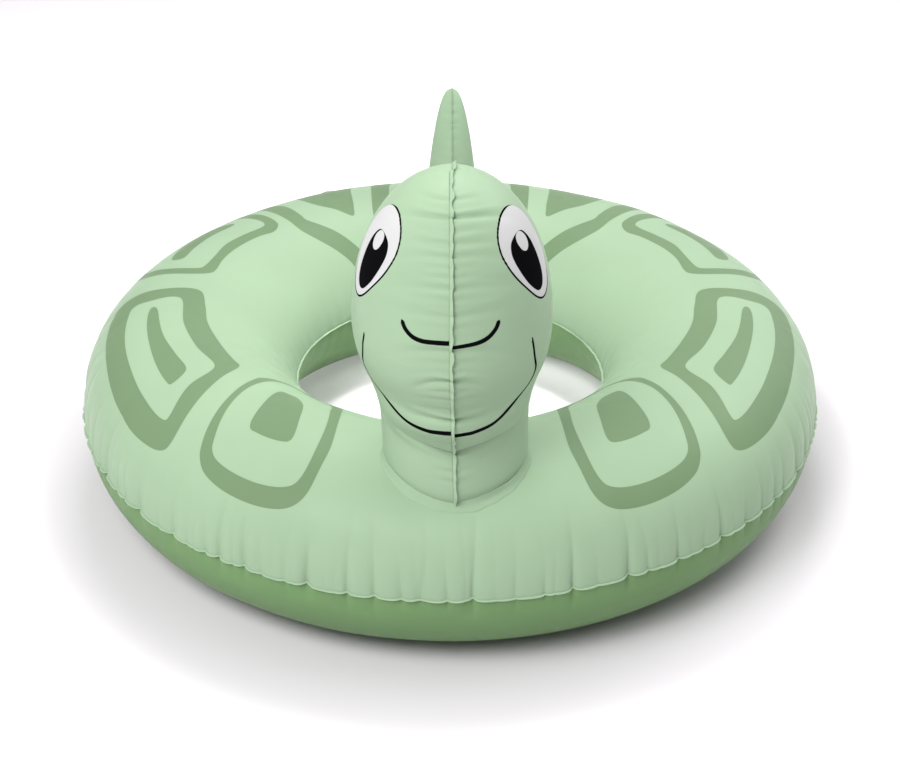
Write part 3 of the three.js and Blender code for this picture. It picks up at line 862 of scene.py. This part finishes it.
def limb_seam(name, node, left, right, reach, lean, seed):
    """A thin weld fin where two films meet, from the front of the base over the top to the back."""
    middle = (left + right) / 2
    line = np.vstack([middle[:, 0], middle[::-1][1:, -1]])
    line, distance = resample(line, 420)
    along = unit(np.gradient(line, axis=0))
    out = unit(np.stack([np.zeros(len(line)), -along[:, 2], along[:, 1]], -1))
    phase = distance / distance[-1] * 2 * math.pi
    wave = soft_noise(phase, seed, 7, 12, 46)
    height = reach * (1 + 0.12 * soft_noise(phase, seed + 1, 9, 30, 90))
    bend = lean * (1 + 0.22 * wave)
    sideways = np.array([1.0, 0, 0])
    section = [(-0.5, -0.38), (0.25, -0.38), (0.7, -0.35), (0.94, -0.23), (1.0, 0.0), (0.94, 0.23),
               (0.7, 0.35), (0.25, 0.38), (-0.5, 0.38)]
    rows = []
    for part, thick in section:
        shift = bend * max(part, 0) ** 1.4 + thick * MM
        rows.append(line + out * (part * height)[:, None] + sideways * shift[:, None])
    points = np.array(rows)
    faces = grid_faces(points, close_rows=True)
    fin = make_object(name, points, faces, "float", [node])
    return paint(fin, WELD_VINYL)


def weld_collar(name, node, centre, inner, outer, rise, tuck, seed):
    """A weld flange that runs from the ring's top up to a limb; inner and outer are half sizes in X and Y."""
    turns = np.linspace(0, 2 * math.pi, 400, endpoint=False)
    section = ((-0.3, rise), (0, rise + 0.4), (0.08, rise - 0.5), (0.3, 0.62 * rise),
               (0.55, 0.3 * rise + 0.8), (0.8, 1.5), (0.93, 1.2), (1.0, 0.7), (1.0, -0.4))
    pocket = tuck * np.exp(-(((np.degrees(turns) - 28) / 17) ** 2))
    fine = 0.25 * soft_noise(turns, seed + 4, 8, 9, 40)
    broad = 0.8 * soft_noise(turns, seed + 6, 6, 2, 9) * (rise > 3)
    rows = []
    for part, up in section:
        wave = 0.5 * soft_noise(turns, seed, 8, 5, 24) * max(part, 0)
        dent = pocket * math.exp(-(((part - 0.35) / 0.22) ** 2))
        size = [a + (b - a) * part + (wave - dent) * MM for a, b in zip(inner, outer)]
        x = centre[0] + size[0] * np.sin(turns)
        y = centre[1] - size[1] * np.cos(turns)
        ripple = (fine + broad) * (1 - part) + fine * part
        rows.append(np.stack([x, y, ring_top(np.hypot(x, y)) + (up + ripple - dent) * MM], -1))
    points = np.array(rows)
    faces = grid_faces(points, close_columns=True)
    collar = make_object(name, points, faces, "float", [node])
    return paint(collar, SKIN_VINYL)


# ---- Tail ----

TAIL_BASE = 207 * MM
TAIL_BLEND = TAIL_BASE + 35 * MM
TAIL_X = 2.5 * MM
TAIL_Y = 332 * MM
TAIL_SWEEP = 60 * MM  # the tip lies this far behind the middle of the base
TAIL_DEPTH = 42 * MM  # half sizes at the base
TAIL_WIDTH = 35.4 * MM


def tail_points(part, angle, side):
    """Points of the tail's surface from its base (0) to its tip (1), at angles from the front (0)."""
    left = np.clip(1 - part, 0, 1)
    middle = TAIL_Y + TAIL_SWEEP * part**1.3
    depth = TAIL_DEPTH * left**0.55
    half = TAIL_WIDTH * left**0.42
    tuck = 3 * MM * np.clip(1 - part / 0.12, 0, 1) ** 2
    across = np.maximum(half - tuck, 0) * np.abs(np.sin(angle))
    pointed = 0.06 * np.clip(1 - np.abs(np.sin(angle)), 0, 1) ** 2 * np.cos(angle)
    y = middle - np.maximum(depth - tuck, 0) * (np.cos(angle) + pointed)
    level = TAIL_BASE + (TAIL_TOP - TAIL_BASE) * part
    foot = ring_top(np.hypot(across, y)) + FOOT_GAP
    share = np.clip((level - TAIL_BASE) / (TAIL_BLEND - TAIL_BASE), 0, 1)
    z = np.where(level < TAIL_BLEND, foot + (TAIL_BLEND - foot) * share, level)
    return np.stack([side * (across + HALF_GAP) + TAIL_X, y, z], -1)


def tail_half(name, node, side):
    parts = 1 - (1 - np.linspace(0, 1, 90)) ** 1.7
    angles = np.linspace(0, math.pi, 70)
    part, angle = np.meshgrid(parts, angles, indexing="ij")
    base = tail_points(part, angle, side)
    normals = outward_normals(base, side)
    rng = np.random.default_rng(17)
    near = np.minimum(angle, math.pi - angle) * 30
    sink = np.zeros(part.shape)
    for place in np.arange(0.07, 0.94, 0.075):
        place = place + rng.uniform(-0.02, 0.02)
        depth, reach = rng.uniform(0.4, 1.0), rng.uniform(8, 20)
        sink += depth * np.exp(-((near / reach) ** 1.5)) * np.exp(-((np.abs(part - place) / 0.016) ** 1.5))
    points = sunk(base, normals, sink * MM * np.clip((1 - part) / 0.1, 0, 1))
    faces = grid_faces(points, flip=side > 0)
    half = make_object(name, points, faces, "float", [node])
    merge_close(half)
    paint(half, SKIN_VINYL)
    return points


# ---- Air valves ----
# Profiles turned about the valve's own axis, as distance from it and height over the film, in mm.

VALVE_FLANGE = [(6.6, 0.5), (6.6, 1.2), (6.9, 1.38), (8.0, 1.4), (8.4, 1.2), (8.8, 1.16), (11.4, 1.1),
                (11.8, 1.2), (12.3, 1.22), (12.8, 1.0), (13.0, 0.6), (12.8, 0.1), (6.8, 0.1)]
VALVE_STEM = [(4.2, -12.0), (7.1, -12.0), (7.4, -11.8), (7.4, -11.3), (7.1, -11.0), (6.3, -10.8),
              (6.2, -10.0), (6.2, 1.3), (6.4, 1.45), (7.5, 1.45), (7.8, 1.65), (7.8, 2.0), (7.5, 2.2),
              (4.6, 2.25), (4.2, 2.0), (4.2, -4.0)]
VALVE_FLAP = [(0, -12.3), (4.6, -12.3), (4.9, -12.45), (4.9, -12.65), (4.6, -12.8), (0, -12.8)]
VALVE_PLUG = [(0, -2.5), (2.3, -2.5), (2.6, -2.2), (3.1, 0.0), (3.9, 2.1), (4.1, 2.45), (6.1, 2.45),
              (6.4, 2.65), (6.35, 3.05), (6.0, 3.3), (5.2, 3.38), (4.9, 3.2), (3.6, 3.1), (2.0, 3.2),
              (0, 3.25)]


def turned(loop, count=72):
    """A closed ring of faces, or a closed solid where the profile starts and ends on the axis."""
    profile = np.array(loop) * MM
    on_axis = profile[0, 0] == 0
    turns = np.arange(count) / count * 2 * math.pi
    radius, level = profile[:, :1], profile[:, 1:]
    points = np.stack([radius * np.cos(turns), radius * np.sin(turns), level + 0 * turns], -1)
    faces = grid_faces(points, close_rows=not on_axis, close_columns=True, flip=True)
    return points.reshape(-1, 3), faces


def rounded_strip(start, end, width, low, high, neck=1.0):
    """A strip along the local X axis with rounded edges; neck narrows its middle."""
    along = np.linspace(start, end, 15)
    part = np.linspace(-1, 1, 15)
    half = width / 2 * (neck + (1 - neck) * part**2)
    turns = np.linspace(0, 2 * math.pi, 20, endpoint=False)
    across = np.sign(np.cos(turns)) * np.abs(np.cos(turns)) ** 0.4
    up = np.sign(np.sin(turns)) * np.abs(np.sin(turns)) ** 0.4
    x = np.repeat(along[:, None], 20, axis=1)
    x[0], x[-1] = start + 0.15, end - 0.15
    y = half[:, None] * across
    z = (low + high) / 2 + (high - low) / 2 * up + 0 * x
    rings = np.stack([x, y, z], -1)
    first, last = rings[:1].copy(), rings[-1:].copy()
    for cap, rim, place in ((first, rings[0], start), (last, rings[-1], end)):
        cap[0] = rim.mean(0) + (rim - rim.mean(0)) * 0.6
        cap[0, :, 0] = place
    tips = [np.repeat(cap.mean(1, keepdims=True), 20, axis=1) for cap in (first, last)]
    points = np.concatenate([tips[0], first, rings, last, tips[1]]) * MM
    return points.reshape(-1, 3), grid_faces(points, close_columns=True, flip=True)


def joined(*parts):
    points, faces, count = [], [], 0
    for part_points, part_faces in parts:
        points.append(part_points)
        faces.append(part_faces + count)
        count += len(part_points)
    return np.vstack(points), np.vstack(faces)


def valve(prefix, film_radius):
    axes, origin = valve_place(prefix)
    pieces = {
        "flange": ("float", turned(VALVE_FLANGE)),
        "stem": (prefix + "_valve", joined(turned(VALVE_STEM), rounded_strip(6.0, 10.0, 4.0, 1.45, 2.25))),
        "flap": (prefix + "_flap", joined(turned(VALVE_FLAP), rounded_strip(4.0, 7.4, 3.0, -12.8, -12.3))),
        "plug": (prefix + "_plug", joined(turned(VALVE_PLUG), rounded_strip(-9.5, -5.0, 4.6, 2.55, 3.25))),
        "tether": (prefix + "_plug", rounded_strip(6.0, 10.3, 3.0, 2.6, 3.25, 0.8)),
    }
    for piece, (body, (points, faces)) in pieces.items():
        points = points.copy()
        if piece == "flange":
            points[:, 2] -= points[:, 1] ** 2 / (2 * film_radius)
        node = f"{prefix}_valve_{piece}"
        made = make_object(node + "_shape", points @ axes + origin, faces, body, [node])
        merge_close(made, 0.005 * MM)
        paint(made, VALVE_VINYL)


# ---- Build ----

ring_panels()
weld_ring("ring_outer_weld", "ring_outer_seam", OUTER_RADIUS, OUTER_SEAM, 2.2, SEAM_PULL, SEAM_LIFT, 1.0)
weld_ring("ring_inner_weld", "ring_inner_seam", INNER_RADIUS, INNER_SEAM, -2.6, 0, 0 * TURNS, 0.3)
head_left = head_half("head_left_film", "head_left_panel", -1)
head_right = head_half("head_right_film", "head_right_panel", 1)
limb_seam("head_weld", "head_seam", head_left, head_right, 2.7 * MM, 3.6 * MM, 41)
neck_centre = (6.0 * MM, -333 * MM)
neck_inner, neck_outer = (74.5 * MM, 70 * MM), (79 * MM, 75 * MM)
weld_collar("neck_weld", "neck_base_flange", neck_centre, neck_inner, neck_outer, 9.5, 2.4, 51)
tail_left = tail_half("tail_left_film", "tail_left_panel", -1)
tail_right = tail_half("tail_right_film", "tail_right_panel", 1)
limb_seam("tail_weld", "tail_seam", tail_left, tail_right, 2.2 * MM, 0.8 * MM, 43)
tail_centre = (TAIL_X, TAIL_Y)
tail_inner, tail_outer = (34 * MM, 40.5 * MM), (40 * MM, 47 * MM)
weld_collar("tail_base_weld", "tail_base_flange", tail_centre, tail_inner, tail_outer, 2.0, 0, 53)
valve("ring", 120 * MM)
valve("head", 76 * MM)

# ---- Floor, light and camera ----

FLOOR_REACH = 40
# Distance from the middle, in metres, and a value there: the floor's tone, darker in a painted contact shadow
# round the ring's foot; and the floor's own glow, painted light that lifts the shade on the floor by the
# hole's inner wall.
# Painted shadow: the tone drops to about 0.61 between 0.30 and 0.54 m, a contact shadow painted round the
# ring.
FLOOR_TONE_AND_PAINTED_SHADOW = ((0.235, 0.86), (0.30, 0.62), (0.485, 0.61), (0.54, 0.72), (0.62, 0.82))
# Painted light: the floor glows in a band round the foot of the hole's inner wall, lifting the shade there.
HOLE_FLOOR_PAINTED_LIGHT = ((0.20, 0), (0.235, 0.18), (0.27, 0.28), (0.285, 0.18), (0.305, 0))


def by_distance(shader, from_middle, first, last, steps, handle="AUTO"):
    """A value that follows the distance from the middle, up to 1 m."""
    curve = shader.node("ShaderNodeFloatCurve")
    points = curve.mapping.curves[0].points
    points[0].location = (0, first)
    points[1].location = (1, last)
    for place, value in steps:
        points.new(place, value)
    for point in points:
        point.handle_type = handle
    curve.mapping.update()
    shader.wire(from_middle.outputs["Value"], curve.inputs["Value"])
    return curve.outputs[0]


def floor():
    points = FLOOR_REACH * np.array([[-1, -1, 0], [1, -1, 0], [1, 1, 0], [-1, 1, 0]], float)
    plane = make_object("floor", points, np.array([[0, 1, 2, 3]]), None)
    shader = Shader("studio_floor")
    bsdf = shader.node("ShaderNodeBsdfPrincipled")
    from_middle = shader.node("ShaderNodeVectorMath", operation="LENGTH")
    shader.wire(shader.place(), from_middle.inputs[0])
    # Painted shadow: the floor's colour is darker in a band round the ring's foot.
    tone_and_painted_shadow = by_distance(shader, from_middle, 0.86, 0.84, FLOOR_TONE_AND_PAINTED_SHADOW)
    shader.wire(shader.shade((1, 0.965, 1), tone_and_painted_shadow), bsdf.inputs["Base Color"])
    far = shader.maths("MULTIPLY_ADD", from_middle.outputs["Value"], 0.2, -0.6, clamp=True)
    # Painted light: glow on the floor by the hole's inner wall, added to the far floor's even glow.
    painted_light = by_distance(shader, from_middle, 0, 0, HOLE_FLOOR_PAINTED_LIGHT, "VECTOR")
    far = shader.maths("ADD", far, shader.maths("MAXIMUM", painted_light, 0.0))
    bsdf.inputs["Emission Color"].default_value = (1, 1, 1, 1)
    shader.wire(far, bsdf.inputs["Emission Strength"])
    bsdf.inputs["Roughness"].default_value = 0.85
    bsdf.inputs["Specular IOR Level"].default_value = 0.1
    shader.wire(bsdf.outputs["BSDF"], shader.output.inputs["Surface"])
    paint(plane, shader.material)


def add_lamp(name, data, place, turn=(0, 0, 0)):
    lamp = bpy.data.objects.new(name, data)
    bpy.context.scene.collection.objects.link(lamp)
    lamp.location = place
    lamp.rotation_euler = turn


def round_lamp(name, place, target, size, power):
    data = bpy.data.lights.new(name, "AREA")
    data.shape = "DISK"
    data.size = size
    data.energy = power
    add_lamp(name, data, place, (Vector(target) - Vector(place)).to_track_quat("-Z", "Y").to_euler())


# Wide soft lights far away: the direction of each one's middle, and its strength.
SKY = (((-0.9, 0.0, 0.42), 1.05), ((0.75, 0.5, 0.42), 1.65), ((0.0, 0.8, 0.42), 0.15))
# Round lamps: place, size and power.
LAMPS = {
    "lamp_front_left": ((-1.5, -1.8, 2.8), 1.6, 62),
    "lamp_front": ((-0.75, -2.3, 2.7), 1.6, 67),
    "lamp_right": ((1.6, -0.2, 3.0), 1.6, 11),
    "lamp_back_right": ((1.9, 1.6, 2.4), 1.6, 34),
    "lamp_back": ((0, 1.7, 2.9), 1.6, 42),
}


def hole_lamp():
    """A lamp straight above the hole, narrow enough to miss the ring's top."""
    data = bpy.data.lights.new("lamp_hole", "SPOT")
    data.energy = 90
    data.spot_size = math.radians(21.5)
    data.spot_blend = 0.9
    data.shadow_soft_size = 0.16
    add_lamp("lamp_hole", data, (0, 0, 1.25))


def studio():
    world = bpy.data.worlds.new("studio")
    bpy.context.scene.world = world
    world.use_nodes = True
    sky = Nodes(world.node_tree)
    background = sky.tree.nodes["Background"]
    position = sky.node("ShaderNodeTexCoord").outputs["Generated"]
    total = None
    for direction, strength in SKY:
        facing = sky.node("ShaderNodeVectorMath", operation="DOT_PRODUCT")
        sky.wire(position, facing.inputs[0])
        sky.wire(Vector(direction).normalized(), facing.inputs[1])
        value = sky.maths("POWER", sky.maths("MAXIMUM", facing.outputs["Value"], 0.0), 2.0)
        value = sky.maths("MULTIPLY", value, strength)
        total = sky.maths("ADD", value, total) if total else value
    sky.wire(total, background.inputs["Strength"])
    background.inputs["Color"].default_value = (1, 1, 1, 1)
    for name, (place, size, power) in LAMPS.items():
        round_lamp(name, place, (0, 0, 0.15), size, power)
    hole_lamp()


# The camera's focal length in mm, its place in metres, and how far it looks down, in radians.
LENS = 67.95
CAMERA_PLACE = (0, -1.8197, 1.1886)
LOOKS_DOWN = 0.5394


def camera():
    data = bpy.data.cameras.new("camera")
    data.sensor_width = 36
    data.lens = LENS
    view = bpy.data.objects.new("camera", data)
    bpy.context.scene.collection.objects.link(view)
    view.location = CAMERA_PLACE
    view.rotation_euler = (math.pi / 2 - LOOKS_DOWN, 0, 0)
    bpy.context.scene.camera = view


floor()
studio()
camera()
bpy.context.scene.view_settings.view_transform = "Standard"
bpy.context.scene.view_settings.look = "None"
